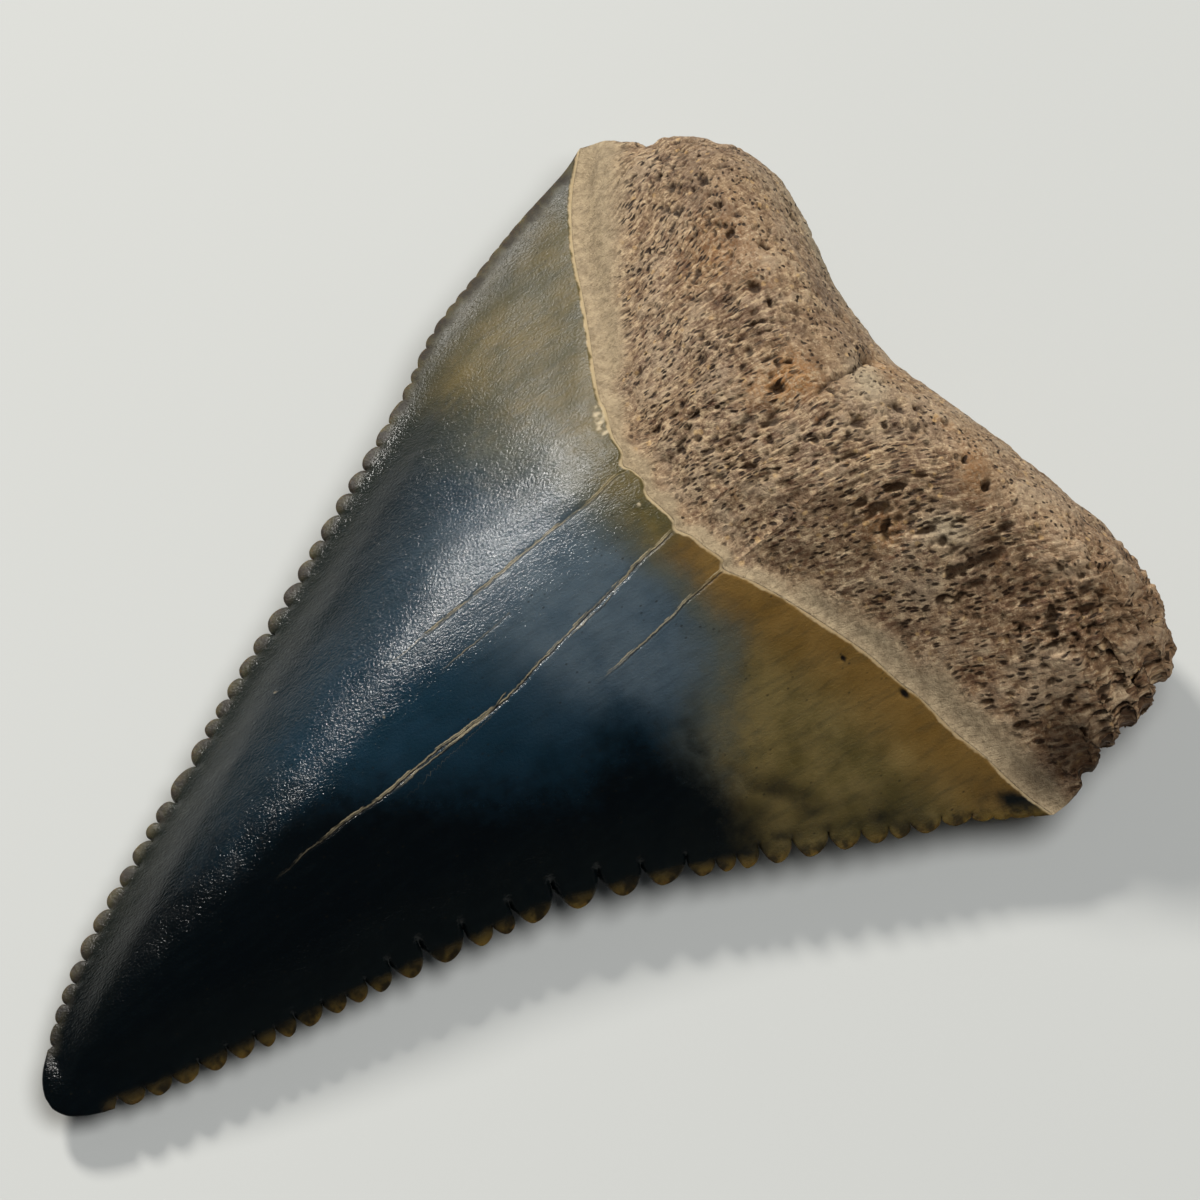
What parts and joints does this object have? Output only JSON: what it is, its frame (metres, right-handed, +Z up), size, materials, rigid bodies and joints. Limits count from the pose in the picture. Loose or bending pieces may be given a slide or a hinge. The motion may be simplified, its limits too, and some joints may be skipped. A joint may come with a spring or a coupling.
{
  "type": "fossil great white shark tooth",
  "caption": "Triangular serrated fossil shark tooth with a glossy blue-grey to olive crown and a porous brown root, lying on its flat labial face.",
  "frame": {"origin": "bottom centre of the tooth's box, on the surface that it lies on", "axes": "+Y along the tooth from the crown's tip towards the root, +Z up out of the curved lingual face, +X towards the distal cutting edge"},
  "size_m": [0.0332, 0.0456, 0.0096],
  "materials": {
    "enamel": "satin fossil enamel, blue-grey to near black with olive-tan shoulders and amber cutting edges",
    "root": "matte porous fossil dentine, tan to purple-brown"
  },
  "bodies": {
    "root": {"tooth": "enamel"}
  },
  "joints": []
}
